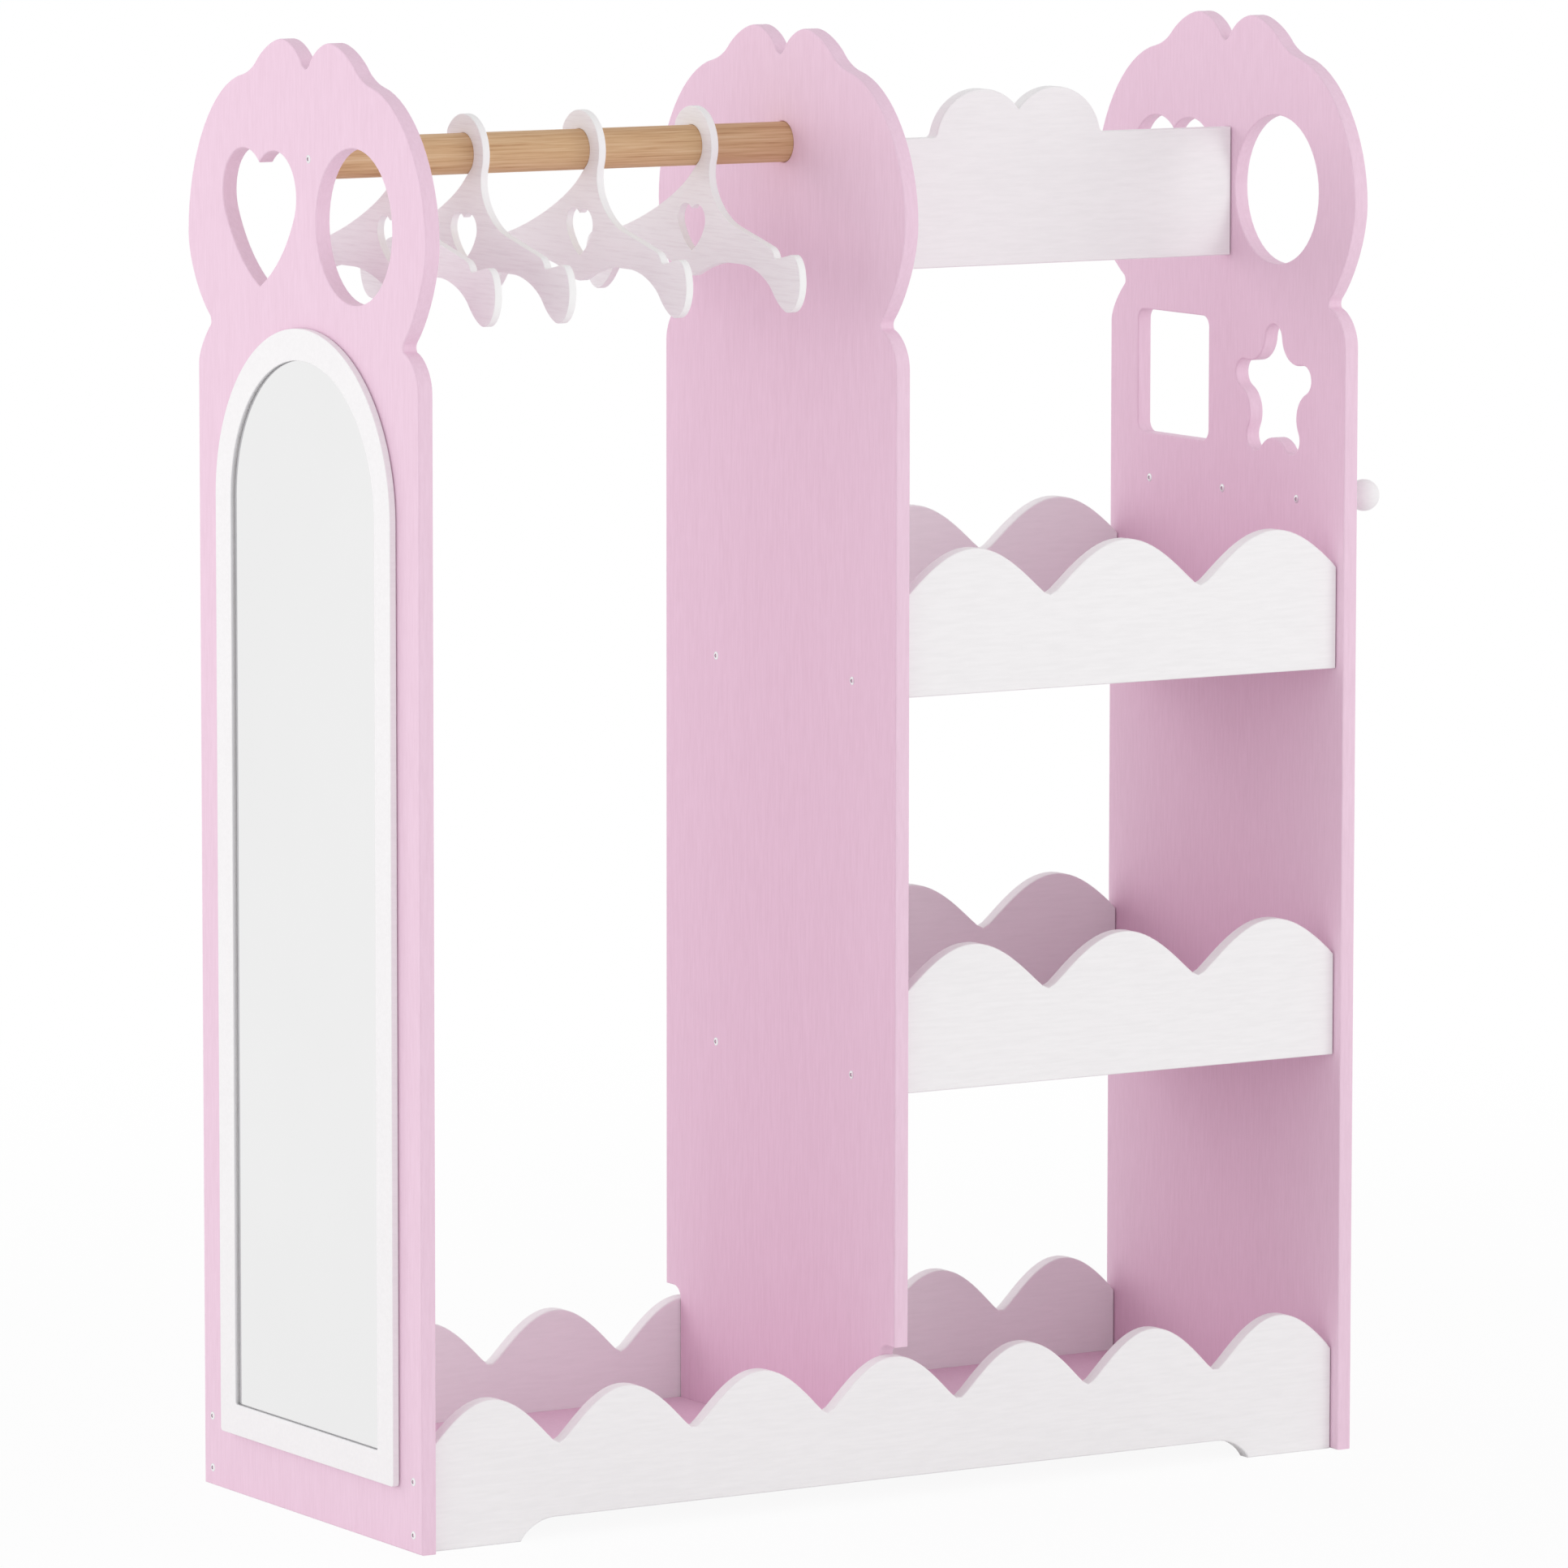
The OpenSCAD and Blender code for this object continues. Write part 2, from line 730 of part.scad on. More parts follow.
module top_board() {
    length = shelf_bay_w;
    top = top_board_tall;
    // A fillet's centre is a lobe's and a fillet's radius away from the lobe's centre
    rise = lobe_drop + lobe_foot_r;
    run = sqrt(pow(lobe_r + lobe_foot_r, 2) - rise * rise);
    touch = lobe_r / (lobe_r + lobe_foot_r);
    color(white)
        difference() {
            translate([shelf_x, top_y + board_t / 2, top_board_h])
                rotate([90, 0, 0])
                    linear_extrude(board_t) {
                        square([length, top]);
                        for (side = [0, 1])
                            translate([length / 2, top])
                                mirror([side, 0])
                                    translate([lobe_offset, -lobe_drop]) {
                                        circle(r = lobe_r);
                                        difference() {
                                            polygon([[0, lobe_drop], [run, lobe_drop],
                                                touch * [run, rise]]);
                                            translate([run, rise])
                                                circle(r = lobe_foot_r);
                                        }
                                    }
                    }
            top_dowel_set(true);
        }
}

module hanging_rod() {
    color(rod_wood)
        difference() {
            translate([hanging_x, top_y, rod_h])
                rotate([0, 90, 0])
                    cylinder(d = rod_d, h = hanging_bay_w + rod_socket);
            rod_screw_set(true);
        }
}

// The hook's inner and outer radius
hook_r = rod_d / 2 + play;
hook_outer_r = hook_r + hook_w;

module hanger(place) {
    color(plywood)
        translate([hanging_x + place + hanger_t, top_y, rod_h])
            rotate([90, 0, -90])
                linear_extrude(hanger_t)
                    difference() {
                        polygon(hanger_outline());
                        translate([0, -hanger_heart_depth])
                            heart(hanger_heart_w);
                    }
}

// One end of a hanger, from the top of its arm round to the underside. The points count from
// the middle of the hanger, at the height of the rod's axis: [outward, up]
function arm_end() =
    let (top = [hanger_w / 2, -arm_depth],
        low = top - [0, lobe_top[1] + hanger_end_tall])
    concat(
        bend(top - notch_start, top - notch_lip, top - notch_side, 5),
        bend(top - notch_side, top - notch_floor, top - notch_rise, 6),
        bend(top - lobe_top, top - lobe_shoulder, low + lobe_tip),
        bend(low + lobe_tip, low + lobe_heel, low - lobe_bottom),
        bend(low - lobe_bottom, low + lobe_toe, low + lobe_inner),
        bend(low + lobe_inner, low + under_corner, low + under_end));

// The outline of a hanger, from the rod's axis: [towards the front, up]
function hanger_outline() =
    let (shift = [-hanger_balance, 0],
        arm = arm_end(),
        end = [hanger_w / 2, -arm_depth - lobe_top[1] - hanger_end_tall] + under_end,
        middle = [keel_start, end[1]],
        keel_side = middle - keel_drop,
        half_under = concat([end], bend(middle, middle - keel_corner, keel_side, 8)),
        keel = [0, keel_side[1] - keel_depth],
        top = [0, -arm_depth],
        neck = [hook_outer_r - neck_step, -neck_h],
        outer_end = hook_outer_r * [cos(hook_outer_start), sin(hook_outer_start)],
        end_middle = (hook_r + hook_w / 2) * [cos(hook_end), sin(hook_end)])
    concat(
        arc([0, 0], hook_outer_r, hook_end, hook_outer_start, 32),
        bend(outer_end, [neck[0], outer_end[1] - neck_step], neck, 4),
        bend(neck, [neck[0], top[1] + neck_corner_h], top + front_arm, 14),
        [top + front_arm],
        [for (p = concat(arm, half_under)) p + shift],
        bend(keel_side + shift, keel + shift, flip(keel_side) + shift, 6),
        [for (p = concat([flip(keel_side)], flipped(half_under), flipped(arm, 1))) p + shift],
        bend(flip(arm[0]) + shift, top + back_corner, neck_back, 14),
        [neck_back],
        arc([0, 0], hook_r, hook_inner_start, hook_end, 36),
        arc(end_middle, hook_w / 2, hook_end + 180, hook_end, 10));

module coat_peg(place) {
    stem = peg_reach - peg_ball_d / 2;
    color(white)
        difference() {
            translate([outer_x, place * peg_pitch, peg_h])
                rotate([0, 90, 0]) {
                    cylinder(d = peg_stem_d, h = stem);
                    translate([0, 0, stem])
                        sphere(d = peg_ball_d);
                }
            peg_screw_set(true);
        }
}

module rod_screw() {
    color(steel)
        rod_screw_set();
}

module base_screws() {
    color(steel)
        base_screw_set();
}

module shelf_screws() {
    color(steel)
        shelf_screw_set();
}

module peg_screws() {
    color(steel)
        peg_screw_set();
}

module floor_dowels() {
    color(beech)
        floor_dowel_set();
}

module shelf_dowels() {
    color(beech)
        shelf_dowel_set();
}

module top_board_dowels() {
    color(beech)
        top_dowel_set();
}

left_panel();
middle_panel();
right_panel();
mirror_frame();
mirror_sheet();
base_board(false);  // front_base_board
base_board(true);  // back_base_board
floor_plate(hanging_x, hanging_bay_w);  // left_floor
floor_plate(shelf_x, shelf_bay_w);  // right_floor
shelf_plate(lower_plate_h);  // lower_shelf
shelf_board(lower_shelf_h, false);  // lower_shelf_front
shelf_board(lower_shelf_h, true);  // lower_shelf_back
shelf_plate(upper_plate_h);  // upper_shelf
shelf_board(upper_shelf_h, false);  // upper_shelf_front
shelf_board(upper_shelf_h, true);  // upper_shelf_back
top_board();
hanging_rod();
hanger(hanger_places[0]);  // hanger_1
hanger(hanger_places[1]);  // hanger_2
hanger(hanger_places[2]);  // hanger_3
hanger(hanger_places[3]);  // hanger_4
coat_peg(-1);  // coat_peg_front
coat_peg(0);  // coat_peg_middle
coat_peg(1);  // coat_peg_back
rod_screw();
base_screws();
shelf_screws();
peg_screws();
floor_dowels();
shelf_dowels();
top_board_dowels();
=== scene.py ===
"""Looks of the dress-up storage unit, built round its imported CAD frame.

Lengths are in metres, in the frame of the CAD: X runs from the mirror to the pegs, Y from the
front to the back and Z up."""

import math

import bmesh
import bpy
import numpy as np
from mathutils import Matrix, Vector
from mathutils.geometry import tessellate_polygon


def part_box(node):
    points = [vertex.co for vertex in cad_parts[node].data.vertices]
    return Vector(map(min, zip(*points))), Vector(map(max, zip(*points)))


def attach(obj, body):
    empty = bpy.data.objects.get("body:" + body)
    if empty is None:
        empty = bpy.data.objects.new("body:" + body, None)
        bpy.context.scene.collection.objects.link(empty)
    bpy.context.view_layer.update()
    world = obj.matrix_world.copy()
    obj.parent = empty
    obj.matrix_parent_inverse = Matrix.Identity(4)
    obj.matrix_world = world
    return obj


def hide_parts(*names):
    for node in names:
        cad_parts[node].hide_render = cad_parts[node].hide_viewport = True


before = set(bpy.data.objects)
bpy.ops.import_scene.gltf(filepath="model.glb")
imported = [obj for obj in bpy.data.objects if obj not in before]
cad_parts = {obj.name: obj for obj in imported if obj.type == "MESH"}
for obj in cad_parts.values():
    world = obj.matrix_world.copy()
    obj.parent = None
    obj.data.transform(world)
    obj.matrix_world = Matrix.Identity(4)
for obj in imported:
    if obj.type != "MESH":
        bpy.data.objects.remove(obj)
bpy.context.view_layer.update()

MM = 0.001
AXES = "XYZ"
# The body that holds everything but the hangers
UNIT = "unit"


# ---------------------------------------------------------------- camera

# The camera fitted to the photograph: the photograph's width and the focal length in its
# pixels, the camera's place, and its turns in radians
PICTURE_SIDE = 1932
FOCAL_PIXELS = 12945.87
CAMERA_PLACE = (-4.07455, -6.65111, 1.48239)
CAMERA_PITCH, CAMERA_YAW, CAMERA_ROLL = -0.1234269, -0.5466645, 0.0009676
# Width of the camera's sensor in millimetres, and how far the camera sees
SENSOR = 36.0
SIGHT = 100.0


def add_camera():
    """The photograph's viewpoint: turned by the yaw round Z, tipped by the pitch, then rolled
    about its own line of sight."""
    pitch, yaw, roll = CAMERA_PITCH, CAMERA_YAW, CAMERA_ROLL
    ahead = np.array([-math.sin(yaw) * math.cos(pitch), math.cos(yaw) * math.cos(pitch),
                      math.sin(pitch)])
    level = np.array([math.cos(yaw), math.sin(yaw), 0.0])
    below = np.cross(ahead, level)
    right = math.cos(roll) * level - math.sin(roll) * below
    down = math.sin(roll) * level + math.cos(roll) * below
    data = bpy.data.cameras.new("camera")
    data.sensor_width = SENSOR
    data.lens = FOCAL_PIXELS / PICTURE_SIDE * SENSOR
    data.clip_end = SIGHT
    camera = bpy.data.objects.new("camera", data)
    turn = np.stack([right, -down, -ahead], axis=1)
    camera.matrix_world = Matrix.Translation(CAMERA_PLACE) @ Matrix(turn.tolist()).to_4x4()
    bpy.context.scene.collection.objects.link(camera)
    bpy.context.scene.camera = camera


# ---------------------------------------------------------------- shader maths

class Value:
    """A socket of a material, which adds Math nodes when it is reckoned with."""

    def __init__(self, material, socket):
        self.material, self.socket = material, socket

    def _maths(self, operation, *terms):
        """Adds one Math node on these terms."""
        return self.material.node("ShaderNodeMath", {"operation": operation},
                                  dict(enumerate(terms)))

    def __add__(self, other):
        return self._maths("ADD", self, other)

    def __sub__(self, other):
        return self._maths("SUBTRACT", self, other)

    def __rsub__(self, other):
        return self._maths("SUBTRACT", other, self)

    def __mul__(self, other):
        return self._maths("MULTIPLY", self, other)

    __radd__, __rmul__ = __add__, __mul__


class Material:
    """A node material, with one method that adds any node."""

    def __init__(self, name, tree=None):
        self.data = None
        if tree is None:
            self.data = bpy.data.materials.new(name)
            self.data.use_nodes = True
            tree = self.data.node_tree
        self.tree = tree
        tree.nodes.clear()

    def node(self, kind, settings=None, inputs=None, out=0):
        """Adds a node: its settings and its ramp's stops first, then its sockets."""
        made = self.tree.nodes.new(kind)
        for name, value in (settings or {}).items():
            if name == "stops":
                ramp = made.color_ramp.elements
                # New stops start midway and are moved to their places
                while len(ramp) < len(value):
                    ramp.new(0.5)
                for stop, (place, tone) in zip(ramp, value):
                    stop.position, stop.color = place, tone
            else:
                setattr(made, name, value)
        for name, value in (inputs or {}).items():
            if isinstance(value, Value):
                self.tree.links.new(value.socket, made.inputs[name])
            else:
                made.inputs[name].default_value = value
        return Value(self, made.outputs[out]) if len(made.outputs) else None

    def finish(self, shader):
        """Joins the shader to the material's output."""
        self.node("ShaderNodeOutputMaterial", None, {"Surface": shader})
        return self.data


def grain(material, scale, detail=3.0, roughness=0.55):
    """Noise on Object coordinates, with its own scale along X, Y and Z, in waves per metre."""
    place = material.node("ShaderNodeTexCoord", out="Object")
    place = material.node("ShaderNodeMapping", None, {"Vector": place, "Scale": scale})
    return material.node("ShaderNodeTexNoise", None,
                         {"Vector": place, "Scale": 1.0, "Detail": detail,
                          "Roughness": roughness}, out="Fac")


def stretched(along, lengthwise, across):
    """The scale of a grain that runs along one axis: the waves along it and across it."""
    return tuple(lengthwise if axis == along else across for axis in AXES)


def mask(material, name):
    """The attribute of this name on the surface, from 0 to 1, and 0 where there is none."""
    return material.node("ShaderNodeAttribute", {"attribute_name": name}, out="Fac")


def blend_colours(material, share, first, second):
    """The first colour where the share is 0, the second where it is 1."""
    return material.node("ShaderNodeMix", {"data_type": "RGBA"},
                         {"Factor": share, "A": first, "B": second}, out="Result")


def bump(material, height, rise):
    """A relief that stands out by the height times the rise."""
    return material.node("ShaderNodeBump", None,
                         {"Height": height, "Distance": rise, "Strength": 1.0})


def principled(material, inputs):
    """Finishes the material with one principled shader."""
    return material.finish(material.node("ShaderNodeBsdfPrincipled", None, inputs))


# ---------------------------------------------------------------- finishes

def colour(red, green, blue):
    """A colour as it shows on a screen, from 0 to 255, as linear light by the sRGB curve."""
    def linear(shown):
        shown /= 255.0
        return shown / 12.92 if shown <= 0.04045 else ((shown + 0.055) / 1.055) ** 2.4
    return (linear(red), linear(green), linear(blue), 1.0)


# Where a finish has two tones, its own grain blends them
PINK, PINK_STREAK = colour(243, 211, 230), colour(238, 205, 224)
WHITE, WHITE_STREAK = colour(250, 248, 249), colour(246, 244, 245)
# A painted shade: the grey of the mirror frame's sight edge, for the shade in the recess by the
# mirror
SIGHT_SHADE_GREY = colour(230, 229, 232)
GLASS, GLASS_MIST = colour(239, 239, 239), colour(236, 236, 236)
# The tones of the rod from its darkest streaks to its palest, each with its place on the ramp
ROD_TONES = ((0.36, colour(183, 137, 97)), (0.46, colour(207, 167, 126)),
             (0.55, colour(217, 180, 140)), (0.66, colour(227, 195, 158)))
VENEER_LINE, VENEER = colour(239, 235, 237), colour(246, 244, 245)
VENEER_CUT = colour(251, 250, 250)
STEEL, STEEL_SHADE = colour(252, 252, 252), colour(240, 240, 242)
# A painted shade: the dark of the screws' sockets and of the rims of their heads
STEEL_PAINTED_SHADE = colour(52, 46, 50)
DOWEL, DOWEL_FIBRE = colour(222, 190, 150), colour(198, 160, 118)

# How strongly paint and veneer, and the bare rod, shine
SATIN, MATT = 0.3, 0.25
# How much the paint's roughness varies from its streaks to its smooth spots
PAINT_SPREAD = 0.12
# Relief of the paint's streaks, the rod's fibres and the veneer's lines
PAINT_RISE = 0.04 * MM
FIBRE_RISE = 0.08 * MM
VENEER_RISE = 0.06 * MM

# Attributes that are 1 on the mirror frame's sight edge, where a painted shade greys the paint,
# on the sides of the boards and the hangers, and in the sockets and round the rims of the
# screws, where a painted shade darkens the steel
SIGHT_SHADE = "sight_edge"
CUT_EDGE = "cut_edge"
SCREW_SHADE = "tarnish"


def painted(name, main, streak, along, roughness):
    """Satin paint over wood: faint streaks along the grain, with a slow change of tone, and a
    painted shade, greyer, on the mirror frame's narrow sight edge, for the shade in the recess by
    the mirror. The grain is a half on average, so the roughness varies about the given one."""
    m = Material(name)
    fine = grain(m, stretched(along, 40.0, 420.0), 3.0, 0.7)
    slow = grain(m, stretched(along, 3.0, 28.0), 2.0)
    share = m.node("ShaderNodeMapRange", None,
                   {"Value": fine * 0.85 + slow * 0.15, "From Min": 0.36, "From Max": 0.64})
    plain = blend_colours(m, share, main, streak)
    return principled(m, {
        # A painted shade greys the paint on the sight edge
        "Base Color": blend_colours(m, mask(m, SIGHT_SHADE), plain, SIGHT_SHADE_GREY),
        "Roughness": fine * PAINT_SPREAD + (roughness - PAINT_SPREAD / 2),
        "Specular IOR Level": SATIN,
        "Normal": bump(m, fine, PAINT_RISE)})


def mirror_glass():
    """The mirror: bright metal under a faint mist."""
    m = Material("mirror_glass")
    mist = grain(m, (7.0, 7.0, 7.0))
    return principled(m, {
        "Base Color": blend_colours(m, mist, GLASS, GLASS_MIST),
        "Metallic": 1.0,
        "Roughness": mist * 0.01 + 0.015})


def rod_wood():
    """Bare turned wood: broad streaks and fine fibres along X, rougher in its dark fibres."""
    m = Material("rod_wood")
    streaks = grain(m, stretched("X", 5.0, 170.0), 4.0, 0.6)
    fibres = grain(m, stretched("X", 14.0, 640.0), 3.0, 0.7)
    tone = m.node("ShaderNodeValToRGB", {"stops": ROD_TONES},
                  {"Fac": streaks * 0.4 + fibres * 0.6})
    return principled(m, {
        "Base Color": tone,
        "Roughness": 0.62 - fibres * 0.15,
        "Specular IOR Level": MATT,
        "Normal": bump(m, fibres, FIBRE_RISE)})


def hanger_plywood():
    """Pale plywood: a veneer with fine lines along Y, and plainer and whiter cut edges."""
    m = Material("hanger_plywood")
    lines = grain(m, (120.0, 26.0, 560.0), 3.0, 0.7)
    share = m.node("ShaderNodeMapRange", None,
                   {"Value": lines, "From Min": 0.30, "From Max": 0.54})
    veneer = blend_colours(m, share, VENEER_LINE, VENEER)
    return principled(m, {
        "Base Color": blend_colours(m, mask(m, CUT_EDGE), veneer, VENEER_CUT),
        "Roughness": lines * 0.15 + 0.5,
        "Specular IOR Level": SATIN,
        "Normal": bump(m, lines, VENEER_RISE)})


def screw_steel():
    """Bright steel, finely mottled, and dark with a painted shade in the sockets and round the
    rims.
    """
    m = Material("screw_steel")
    mottle = grain(m, (900.0, 900.0, 900.0))
    bright = blend_colours(m, mottle, STEEL, STEEL_SHADE)
    return principled(m, {
        # A painted shade darkens the steel in the sockets and round the rims
        "Base Color": blend_colours(m, mask(m, SCREW_SHADE), bright, STEEL_PAINTED_SHADE),
        "Metallic": 0.9,
        "Roughness": mottle * 0.1 + 0.30})


def dowel_wood():
    """Plain wood with fibres along X."""
    m = Material("dowel_wood")
    fibres = grain(m, stretched("X", 60.0, 700.0), 3.0)
    return principled(m, {
        "Base Color": blend_colours(m, fibres, DOWEL, DOWEL_FIBRE),
        "Roughness": fibres * 0.1 + 0.6})


# ---------------------------------------------------------------- floor, room and lamps

# Half the side of the floor, and the distances between which it fades to plain white
FLOOR_REACH = 12.0
FADE_START, FADE_END = 0.6, 2.4
FLOOR_PALE, FLOOR_SHADE = (0.90, 0.90, 0.90, 1.0), (0.88, 0.88, 0.88, 1.0)
WHITE_LIGHT = (1.0, 1.0, 1.0, 1.0)
# Brightness of the floor under the unit, and of the light that the room gives
FLOOR_GLOW = 0.93
ROOM_LIGHT = 0.675
# Name, place, the point it faces, width, height and power of each soft box
LAMPS = (
    ("left_soft_box", (-4.6, -1.8, 1.3), (-0.1, 0.0, 0.5), 3.2, 2.2, 20.0),
    ("left_rear_soft_box", (-4.6, 1.6, 1.3), (-0.1, 0.0, 0.5), 3.2, 2.2, 23.5),
    ("rear_soft_box", (-2.6, 4.2, 2.2), (-0.1, 0.0, 0.6), 3.0, 3.0, 49.0),
    ("front_soft_box", (0.6, -4.2, 1.6), (0.0, 0.0, 0.5), 7.0, 3.0, 22.0),
    ("right_soft_box", (3.6, -4.0, 1.6), (0.0, 0.0, 0.5), 3.0, 3.0, 46.0),
)


def in_sight(material):
    """1 on the rays from the camera, off a shiny surface and through a clear one, else 0."""
    camera, shiny, clear = [material.node("ShaderNodeLightPath", out=name)
                            for name in ("Is Camera Ray", "Is Glossy Ray",
                                         "Is Transmission Ray")]
    return material.node("ShaderNodeMath", {"operation": "MINIMUM"},
                         {0: camera + shiny + clear, 1: 1.0})


def add_floor():
    """A pale floor that keeps a soft shadow. In sight it glows, and away from the unit it
    fades to plain white, so that no horizon shows."""
    data = bpy.data.meshes.new("floor")
    side = FLOOR_REACH
    data.from_pydata([(-side, -side, 0), (side, -side, 0), (side, side, 0), (-side, side, 0)],
                     [], [(0, 1, 2, 3)])
    floor = bpy.data.objects.new("floor", data)
    bpy.context.scene.collection.objects.link(floor)
    m = Material("studio_floor")
    cloudy = grain(m, (2.0, 2.0, 2.0))
    matt = m.node("ShaderNodeBsdfDiffuse", None,
                  {"Color": blend_colours(m, cloudy, FLOOR_PALE, FLOOR_SHADE)})
    glow = m.node("ShaderNodeEmission", None, {"Color": WHITE_LIGHT, "Strength": 1.0})
    place = m.node("ShaderNodeTexCoord", out="Object")
    away = m.node("ShaderNodeVectorMath", {"operation": "LENGTH"}, {0: place}, out="Value")
    white = m.node("ShaderNodeMapRange", {"interpolation_type": "SMOOTHSTEP"},
                   {"Value": away, "From Min": FADE_START, "From Max": FADE_END,
                    "To Min": FLOOR_GLOW, "To Max": 1.0})
    m.finish(m.node("ShaderNodeMixShader", None, {0: in_sight(m) * white, 1: matt, 2: glow}))
    data.materials.append(m.data)


def add_room():
    """A white room all round: plain white in sight, dimmer as a light."""
    world = bpy.data.worlds.new("room")
    bpy.context.scene.world = world
    world.use_nodes = True
    m = Material("room", world.node_tree)
    soft = m.node("ShaderNodeBackground", None, {"Color": WHITE_LIGHT, "Strength": ROOM_LIGHT})
    seen = m.node("ShaderNodeBackground", None, {"Color": WHITE_LIGHT, "Strength": 1.0})
    mixed = m.node("ShaderNodeMixShader", None, {0: in_sight(m), 1: soft, 2: seen})
    m.node("ShaderNodeOutputWorld", None, {"Surface": mixed})


def add_lamps():
    """The soft boxes, which light the unit and are seen neither directly nor as reflections."""
    for name, place, target, wide, tall, power in LAMPS:
        data = bpy.data.lights.new(name, "AREA")
        data.shape, data.size, data.size_y, data.energy = "RECTANGLE", wide, tall, power
        lamp = bpy.data.objects.new(name, data)
        lamp.location = place
        lamp.rotation_euler = (Vector(target) - Vector(place)).to_track_quat("-Z", "Y").to_euler()
        lamp.visible_camera = False
        lamp.visible_glossy = False
        bpy.context.scene.collection.objects.link(lamp)


# ---------------------------------------------------------------- meshes and pieces

# An edge that turns by more than this is shaded sharp
SHARP_TURN = math.radians(35.0)
# Points of a CAD mesh nearer than this are one
MERGE_WITHIN = 0.001 * MM


def merged_copy(node):
    """A copy of a CAD node's loose triangles with its points merged, to be freed after use."""
    copy = bmesh.new()
    copy.from_mesh(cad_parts[node].data)
    bmesh.ops.remove_doubles(copy, verts=copy.verts, dist=MERGE_WITHIN)
    return copy


def mesh_of(name, points, faces):
    """A closed mesh with its faces turned outwards, shaded smooth but for its sharp edges."""
    data = bpy.data.meshes.new(name)
    data.from_pydata(points.tolist(), [], faces)
    shell = bmesh.new()
    shell.from_mesh(data)
    bmesh.ops.recalc_face_normals(shell, faces=shell.faces)
    shell.to_mesh(data)
    shell.free()
    data.polygons.foreach_set("use_smooth", np.ones(len(data.polygons), bool))
    data.set_sharp_from_angle(angle=SHARP_TURN)
    data.update()
    return data


def mark(data, name, values):
    """Writes an attribute of a mesh, with one value for each point."""
    made = data.attributes.new(name, "FLOAT", "POINT")
    made.data.foreach_set("value", np.asarray(values, np.float32))


def settle(data, name, slot, node, body=UNIT, weighted=True):
    """Makes a mesh the piece that stands for a CAD node: its finish and the body that it rides
    on. Where it is weighted, its large faces keep their flat shading up to the rounds."""
    piece = bpy.data.objects.new(name, data)
    bpy.context.scene.collection.objects.link(piece)
    data.materials.append(finishes[slot])
    if weighted:
        flat = piece.modifiers.new("flat_faces", "WEIGHTED_NORMAL")
        flat.keep_sharp = True
    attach(piece, body)
    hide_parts(node)


# ---------------------------------------------------------------- boards with soft edges

# The axis along which a board is alike, as a number
ALONG_X, ALONG_Y, ALONG_Z = 0, 1, 2
# Rounds on the edges of the boards, the bays' plates and the hangers
EDGE_ROUND = 1.2 * MM
PLATE_ROUND = 0.5 * MM
HANGER_ROUND = 0.6 * MM
ROUND_STEPS = 4
# Gap between a white board's end and the panel that it meets
END_GAP = 0.7 * MM
# A bore's outline is smaller than this
BORE_SPAN = 9.5 * MM
# A face is part of the low side where its normal's part down the axis is over the first, and
# its distance from the lowest point is under the second
FACING = 0.99
LEVEL_WITHIN = 0.01 * MM
# Least divisor of the step inwards, which keeps it short at a sharp corner
LEAST_DIVISOR = 0.35


def board_outlines(node, axis):
    """The closed outlines in the low face of a board that is alike all along one axis, as
    arrays of points in the two other axes. Bores are left out: the screws and dowels fill
    them. The outlines are the edges where the flat face of a merged copy ends."""
    copy = merged_copy(node)
    level = min(v.co[axis] for v in copy.verts)
    others = [a for a in (0, 1, 2) if a != axis]
    after = {}
    for face in copy.faces:
        if face.normal[axis] > -FACING or abs(face.verts[0].co[axis] - level) > LEVEL_WITHIN:
            continue
        for loop in face.loops:
            across = [f for f in loop.edge.link_faces if f != face]
            if any(f.normal[axis] > -FACING for f in across):
                after[loop.vert.index] = loop.link_loop_next.vert.index
    copy.verts.ensure_lookup_table()
    outlines = []
    while after:
        first, chain = next(iter(after)), []
        while first in after:
            chain.append(first)
            first = after.pop(first)
        points = np.array([[copy.verts[i].co[a] for a in others] for i in chain])
        if np.ptp(points, axis=0).max() > BORE_SPAN:
            outlines.append(points)
    copy.free()
    return outlines


def inward(points):
    """For a closed outline with the board on its left: the step in from each point that
    moves both of its sides by one, which is the sum of the two sides' normals over 1 plus
    the product of the two."""
    ahead = np.roll(points, -1, axis=0) - points
    ahead /= np.linalg.norm(ahead, axis=1, keepdims=True)
    after = np.stack([-ahead[:, 1], ahead[:, 0]], axis=1)
    before = np.roll(after, 1, axis=0)
    divisor = 1.0 + (before * after).sum(axis=1, keepdims=True)
    return (before + after) / np.maximum(divisor, LEAST_DIVISOR)


def rounded_profile(low, high, round_by):
    """The rows of a board's side, from its low face to its high one: how far each lies inside
    the outline, and its level. Round either edge, a row at turn t lies
    round * (1 - sin t) inside the outline and round * (1 - cos t) off the face."""
    turns = np.linspace(0.0, math.pi / 2, ROUND_STEPS + 1)
    inset = round_by * (1.0 - np.sin(turns))
    depth = round_by * (1.0 - np.cos(turns))
    return (np.concatenate([inset, inset[::-1]]),
            np.concatenate([low + depth, (high - depth)[::-1]]))


